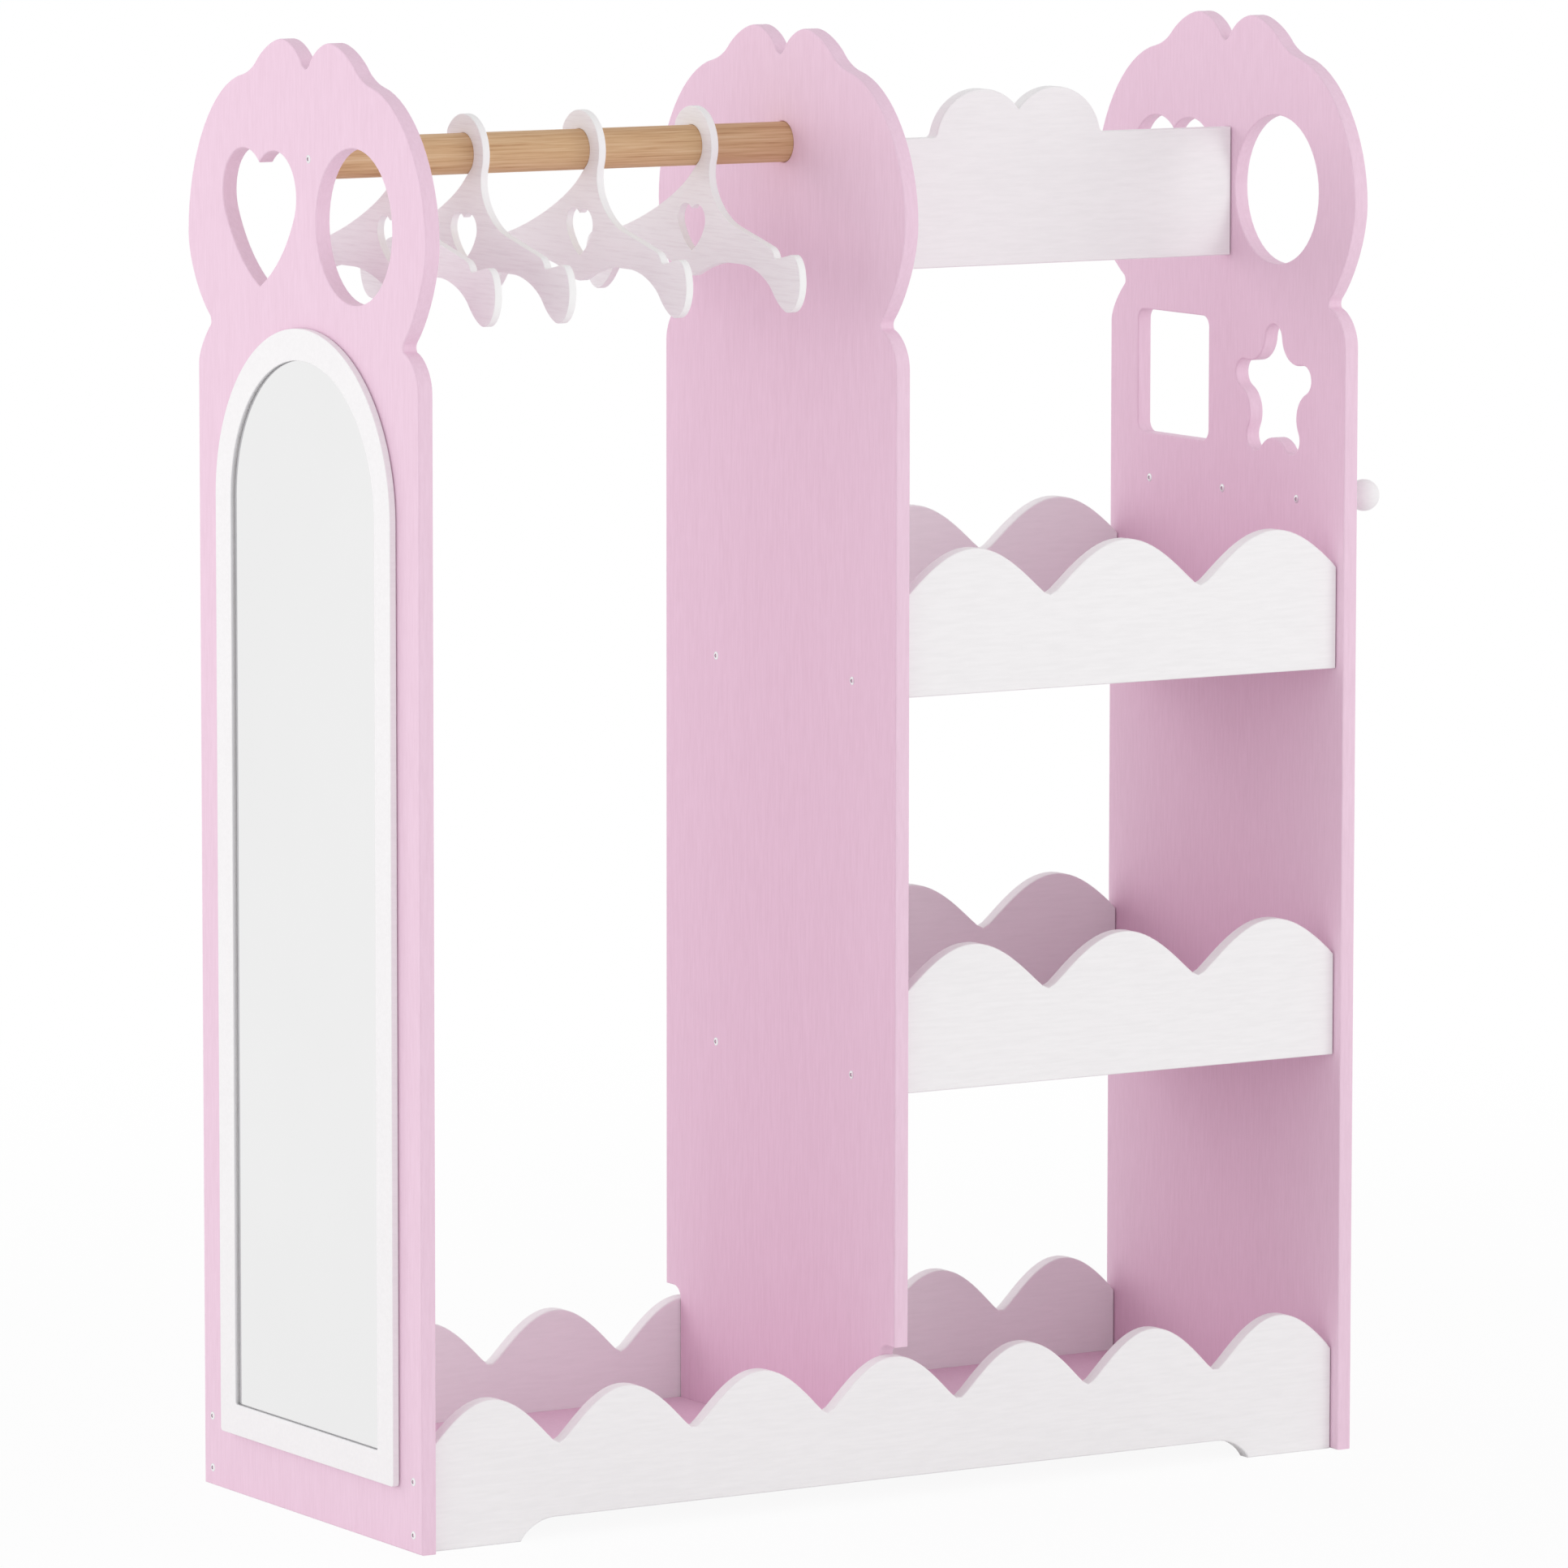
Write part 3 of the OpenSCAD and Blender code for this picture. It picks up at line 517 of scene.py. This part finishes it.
def soft_board(node, axis, name, slot, round_by=EDGE_ROUND, end_gap=0.0, body=UNIT):
    """A board with a small round along every edge: each outline is carried along the rounded
    profile from one face to the other. The cut edge attribute is 1 less the share of the
    round by which a row lies inside. A board that runs along X between two panels stops short
    of both by the end gap."""
    low, high = (corner[axis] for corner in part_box(node))
    insets, levels = rounded_profile(low, high, round_by)
    others = [a for a in (0, 1, 2) if a != axis]
    verts, sides, low_rims, high_rims, rim_points, cuts = [], [], [], [], [], []
    start = 0
    for points in board_outlines(node, axis):
        if end_gap:
            run = points[:, 0]
            points[:, 0] = np.clip(run, run.min() + end_gap, run.max() - end_gap)
        # Seen from the low side, the board lies on the left of its outlines. The two other
        # axes are drawn as seen from there where the axis is Y. Where it is X or Z they are
        # drawn from the high side, and the board lies on the right
        step_in = inward(points) if axis == ALONG_Y else -inward(points)
        rows = points[None] + insets[:, None, None] * step_in[None]
        grid = np.empty((*rows.shape[:2], 3))
        grid[..., others] = rows
        grid[..., axis] = levels[:, None]
        at = start + np.arange(rows.shape[0] * rows.shape[1]).reshape(rows.shape[:2])
        after = np.roll(at, -1, axis=1)
        sides.append(np.stack([at[:-1], at[1:], after[1:], after[:-1]], axis=-1).reshape(-1, 4))
        verts.append(grid.reshape(-1, 3))
        cuts.append(np.repeat(1.0 - insets / round_by, len(points)))
        low_rims.append(at[0])
        high_rims.append(at[-1])
        rim_points.append([Vector((*point, 0.0)) for point in rows[0]])
        start += at.size

    # The same triangles fill both faces between the outlines, turned over on the high one
    triangles = np.array(tessellate_polygon(rim_points))
    low_face = np.concatenate(low_rims)[triangles]
    high_face = np.concatenate(high_rims)[triangles[:, ::-1]]
    data = mesh_of(name, np.concatenate(verts),
                   np.concatenate(sides).tolist() + low_face.tolist() + high_face.tolist())
    mark(data, CUT_EDGE, np.concatenate(cuts))
    settle(data, name, slot, node, body=body)


# ---------------------------------------------------------------- turned pieces

# Sides of a circle on the rod, a peg and a screw, which has a multiple of six for its socket
ROD_SIDES, PEG_SIDES, SCREW_SIDES = 96, 64, 60

ROD_CHAMFER = 1.0 * MM
ROD_RINGS = 24

PEG_STEM = 11.0 * MM
PEG_FILLET = 3.0 * MM
FILLET_STEPS = 8
BALL_STEPS = 27

# Widths of a screw's shank and socket, the height of its head, the depth of its socket, the
# round on its edges, and how much lower its head's top lies than the CAD head's
SCREW_SHANK = 4.0 * MM
SCREW_SOCKET = 2.8 * MM
SCREW_HEAD = 0.8 * MM
SCREW_DEPTH = 0.8 * MM
SCREW_RIM = 0.25 * MM
SCREW_LOWER = 0.5 * MM
DOME_STEPS = 8
# The numbers of the rings in the socket, and the first two's widths as shares of the socket's
SOCKET_RINGS = (1, 2, 3)
SOCKET_FLOOR, SOCKET_FOOT = 0.55, 0.98
# Points farther from a screw's axis than this share of the farthest belong to its head
HEAD_SHARE = 0.9
# The higher this is, the closer the painted shade keeps to the head's rim
SCREW_SHADE_POWER = 6


def turned(rings, sides, hexagon=()):
    """A closed surface of revolution round Z: for every (radius, height) in rings one circle
    of points at radius * (cos a, sin a). In a ring whose number is in hexagon, the radius is
    multiplied by cos 30 / cos(a - the middle of its side), which draws a hexagon. The first
    and the last ring have radius 0 and are single points."""
    turn = 2 * math.pi * np.arange(sides) / sides
    flat = math.cos(math.pi / 6) / np.cos(turn % (math.pi / 3) - math.pi / 6)
    grid = []
    for number, (radius, height) in enumerate(rings[1:-1], start=1):
        reach = radius * (flat if number in hexagon else np.ones(sides))
        grid.append(np.stack([reach * np.cos(turn), reach * np.sin(turn),
                              np.full(sides, height)], axis=1))
    points = np.concatenate([[[0, 0, rings[0][1]]], *grid, [[0, 0, rings[-1][1]]]])
    at = 1 + np.arange(len(grid) * sides).reshape(len(grid), sides)
    after = np.roll(at, -1, axis=1)
    quads = np.stack([at[:-1], after[:-1], after[1:], at[1:]], axis=-1).reshape(-1, 4).tolist()
    last = len(points) - 1
    fans = [[0, b, a] for a, b in zip(at[0].tolist(), after[0].tolist())]
    fans += [[last, a, b] for a, b in zip(at[-1].tolist(), after[-1].tolist())]
    return points, quads + fans


def along_x(points, start, way=1.0):
    """Lays a turned shape with its Z along X, either way, from the starting place."""
    x, y, z = points.T
    return np.stack([start[0] + way * z, start[1] + way * x, start[2] + y], axis=1)


def low_end(low, high):
    """The middle of a box's low end along X."""
    return (low[0], (low[1] + high[1]) / 2, (low[2] + high[2]) / 2)


def hanging_rod():
    """The rod: a straight profile with a small chamfer at both ends, turned round its axis."""
    low, high = map(np.array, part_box("hanging_rod"))
    length, _, width = high - low
    radius = width / 2
    rings = [(0, 0), (radius - ROD_CHAMFER, 0), (radius, ROD_CHAMFER)]
    rings += [(radius, length * i / ROD_RINGS) for i in range(1, ROD_RINGS)]
    rings += [(radius, length - ROD_CHAMFER), (radius - ROD_CHAMFER, length), (0, length)]
    points, faces = turned(rings, ROD_SIDES)
    data = mesh_of("rod", along_x(points, low_end(low, high)), faces)
    settle(data, "rod", "rod_wood", "hanging_rod", weighted=False)


def coat_peg(node):
    """A peg: a stem, a fillet and a ball, turned round their axis. The fillet is an arc that
    touches both others: its centre lies the fillet's radius off the stem, and the sum of both
    radii from the ball's middle. Fillet and ball meet on the line between their middles."""
    low, high = map(np.array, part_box(node))
    reach, _, width = high - low
    ball = width / 2
    middle = reach - ball
    centre_out = PEG_STEM / 2 + PEG_FILLET
    centre_along = middle - math.sqrt((ball + PEG_FILLET) ** 2 - centre_out ** 2)
    meet = math.atan2(centre_out, centre_along - middle)
    fillet_turns = np.linspace(math.pi, 1.5 * math.pi - meet, FILLET_STEPS + 1)
    ball_turns = np.linspace(meet, 0, BALL_STEPS + 1)[1:-1]
    rings = [(0, 0), (PEG_STEM / 2, 0)]
    rings += [(centre_out + PEG_FILLET * math.cos(t), centre_along + PEG_FILLET * math.sin(t))
              for t in fillet_turns]
    rings += [(ball * math.sin(t), middle + ball * math.cos(t)) for t in ball_turns]
    rings += [(0, middle + ball)]
    points, faces = turned(rings, PEG_SIDES)
    data = mesh_of(node, along_x(points, low_end(low, high)), faces)
    settle(data, node + "_turned", "white_board", node)


def loose_parts(node):
    """The points of each separate solid in a CAD node, as one array per solid, in order of
    their lowest corners."""
    copy = merged_copy(node)
    left, parts = set(copy.verts), []
    while left:
        part, edge = set(), [left.pop()]
        while edge:
            vert = edge.pop()
            part.add(vert)
            near = {e.other_vert(vert) for e in vert.link_edges} & left
            left -= near
            edge.extend(near)
        parts.append(np.array([v.co for v in part]))
    copy.free()
    return sorted(parts, key=lambda part: part.min(axis=0).tolist())


def screw_places(node):
    """For each screw of a node: the middle of its head's top, its way along X, the radius of
    its head and its whole length."""
    places = []
    for part in loose_parts(node):
        low, high = part.min(axis=0), part.max(axis=0)
        middle = (low + high) / 2
        off_axis = np.hypot(part[:, 1] - middle[1], part[:, 2] - middle[2])
        head_radius = off_axis.max()
        head = part[off_axis > HEAD_SHARE * head_radius, 0].mean()
        way = 1.0 if head < middle[0] else -1.0
        top = (low[0] if way > 0 else high[0]) + way * SCREW_LOWER
        places.append(((top, middle[1], middle[2]), way, head_radius,
                       high[0] - low[0] - SCREW_LOWER))
    return places


def screw_rings(head_radius, length):
    """The profile of a screw, from the floor of its socket over its head to its tip. The dome
    is the cap of a sphere whose radius is ball: at radius r it lies
    ball - sqrt(ball^2 - r^2) below its top."""
    socket, shank, rim = SCREW_SOCKET / 2, SCREW_SHANK / 2, SCREW_RIM
    ball = (head_radius ** 2 + SCREW_HEAD ** 2) / (2 * SCREW_HEAD)
    dome = [(r, ball - math.sqrt(ball ** 2 - r ** 2))
            for r in np.linspace(socket + rim, head_radius - rim, DOME_STEPS + 1)]
    brim = dome[0][1]
    return [(0, SCREW_DEPTH), (socket * SOCKET_FLOOR, SCREW_DEPTH),
            (socket * SOCKET_FOOT, SCREW_DEPTH - rim / 3), (socket, brim + rim / 2),
            (socket + rim / 2, brim), *dome, (head_radius, SCREW_HEAD - rim / 2),
            (head_radius, SCREW_HEAD), (shank, SCREW_HEAD), (shank, length - rim),
            (shank - rim, length), (0, length)]


def screws(node):
    """The screws of one node, each a shank under a low domed head with a hexagonal socket.
    Their painted shade is 1 in the socket, and past it the sixth power of the share of the way to
    the head's rim."""
    verts, all_faces, tarnish, count = [], [], [], 0
    for start, way, head_radius, length in screw_places(node):
        points, faces = turned(screw_rings(head_radius, length), SCREW_SIDES, SOCKET_RINGS)
        # A painted shade: dark in the socket, and darker towards the head's rim
        past = np.hypot(points[:, 0], points[:, 1]) - SCREW_SOCKET / 2
        share = np.clip(past / (head_radius - SCREW_SOCKET / 2), 0.0, 1.0)
        dark = share ** SCREW_SHADE_POWER
        dark[:1 + len(SOCKET_RINGS) * SCREW_SIDES] = 1.0
        tarnish.append(dark)
        verts.append(along_x(points, start, way))
        all_faces += [[v + count for v in face] for face in faces]
        count += len(points)
    data = mesh_of(node, np.concatenate(verts), all_faces)
    mark(data, SCREW_SHADE, np.concatenate(tarnish))
    settle(data, node + "_domed", "steel", node)


# ---------------------------------------------------------------- mirror

# How far the lip covers the sheet's edge, and the gaps beside the sheet and before it
MIRROR_LIP = 5.0 * MM
MIRROR_PLAY = 0.5 * MM
SHEET_PLAY = 0.02 * MM
# Round on the border's edges, and the corners at the frame's foot and the sheet's
FRAME_ROUND = 0.6 * MM
FRAME_CORNER = 3.0 * MM
SHEET_CORNER = 2.0 * MM
# The groove between frame and panel and the dark gap between lip and sheet: how far each
# reaches off the panel or the sheet, and how far it runs in under the frame
GROOVE_HIGH, GROOVE_DEEP = 1.1 * MM, 2.0 * MM
GAP_HIGH, GAP_DEEP = 1.2 * MM, 1.3 * MM
BOW_STEPS = 96
CORNER_STEPS = 5


def arch(half, low, spring, corner):
    """A closed arch in the plane of Y and Z: a semicircle of radius half round (0, spring)
    over two straight sides, with rounded corners at its foot."""
    bow = np.linspace(0, math.pi, BOW_STEPS + 1)
    parts = [np.stack([half * np.cos(bow), spring + half * np.sin(bow)], axis=1)]
    for side, start in ((-1, math.pi), (1, 1.5 * math.pi)):
        turn = start + np.linspace(0, math.pi / 2, CORNER_STEPS + 1)
        parts.append(np.stack([side * (half - corner) + corner * np.cos(turn),
                               low + corner + corner * np.sin(turn)], axis=1))
    return np.concatenate(parts)


def frame_section(thick, border, sheet):
    """The section of the mirror's frame, each point as its distance in from the outline and
    out from the panel. It runs from the panel out of a shallow groove, up the outer side, over
    the border with a round at both of its edges, down the sight edge and back under the lip
    over the sheet."""
    turns = np.linspace(0, math.pi / 2, ROUND_STEPS + 1)
    outer = [(FRAME_ROUND * (1 - math.sin(t)), thick - FRAME_ROUND * (1 - math.cos(t)))
             for t in turns[::-1]]
    inner = [(border - inset, out) for inset, out in outer[::-1]]
    rebate = border - MIRROR_LIP - MIRROR_PLAY
    return [(GROOVE_DEEP, 0.0), (GROOVE_DEEP, GROOVE_HIGH), (0.0, GROOVE_HIGH), *outer, *inner,
            (border, sheet + GAP_HIGH), (border - GAP_DEEP, sheet + GAP_HIGH),
            (border - GAP_DEEP, sheet + SHEET_PLAY), (rebate, sheet + SHEET_PLAY),
            (rebate, 0.0)]


def mirror_frame():
    """The mirror's frame: the arch carried round the section. Each point of the section has
    one arch, drawn in by the point's distance from the outline."""
    low, high = map(np.array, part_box("mirror_frame"))
    sheet_low, sheet_high = map(np.array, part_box("mirror_sheet"))
    thick, width, _ = high - low
    half, middle = width / 2, (low + high)[1] / 2
    spring = high[2] - half
    border = sheet_low[2] - low[2] + MIRROR_LIP
    section = frame_section(thick, border, (sheet_high - sheet_low)[0])
    rings = []
    for inset, out in section:
        line = arch(half - inset, low[2] + inset, spring, max(FRAME_CORNER - inset, SHEET_CORNER))
        rings.append(np.stack([np.full(len(line), high[0] - out), middle + line[:, 0],
                               line[:, 1]], axis=1))
    count = len(rings[0])
    at = np.arange(len(rings) * count).reshape(len(rings), count)
    after, inner = np.roll(at, -1, axis=1), np.roll(at, -1, axis=0)
    faces = np.stack([at, after, np.roll(after, -1, axis=0), inner], axis=-1).reshape(-1, 4)
    data = mesh_of("mirror_frame", np.concatenate(rings), faces.tolist())
    # A painted shade greys the sight edge, for the shade in the recess by the mirror
    mark(data, SIGHT_SHADE, np.repeat([inset == border for inset, _ in section], count))
    settle(data, "mirror_frame_painted", "white_board", "mirror_frame")


# ---------------------------------------------------------------- main

PANELS = ("left_panel", "middle_panel", "right_panel")
WHITE_BOARDS = ("front_base_board", "back_base_board", "lower_shelf_front", "lower_shelf_back",
                "upper_shelf_front", "upper_shelf_back", "top_board")
PLATES = ("left_floor", "right_floor", "lower_shelf", "upper_shelf")
HANGERS = ("hanger_1", "hanger_2", "hanger_3", "hanger_4")
PEGS = ("coat_peg_front", "coat_peg_middle", "coat_peg_back")
SCREWS = ("rod_screw", "base_screws", "shelf_screws", "peg_screws")

add_camera()
add_floor()
add_room()
add_lamps()

finishes = {
    "pink_board": painted("pink_paint", PINK, PINK_STREAK, "Z", 0.5),
    "white_board": painted("white_paint", WHITE, WHITE_STREAK, "X", 0.45),
    "mirror": mirror_glass(),
    "rod_wood": rod_wood(),
    "hanger_plywood": hanger_plywood(),
    "steel": screw_steel(),
    "dowel_wood": dowel_wood(),
}
# Each CAD node's material is named for its slot
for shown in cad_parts.values():
    slot = shown.data.materials[0].name.split(".")[0]
    shown.data.materials[0] = finishes[slot]

for node in PANELS:
    soft_board(node, ALONG_X, node + "_painted", "pink_board")
for node in WHITE_BOARDS:
    soft_board(node, ALONG_Y, node + "_painted", "white_board", end_gap=END_GAP)
for node in PLATES:
    soft_board(node, ALONG_Z, node + "_painted", "pink_board", PLATE_ROUND)
mirror_frame()
hanging_rod()
for node in HANGERS:
    soft_board(node, ALONG_X, node + "_cut", "hanger_plywood", HANGER_ROUND, body=node)
for node in PEGS:
    coat_peg(node)
for node in SCREWS:
    screws(node)

bpy.context.scene.view_settings.view_transform = "Standard"
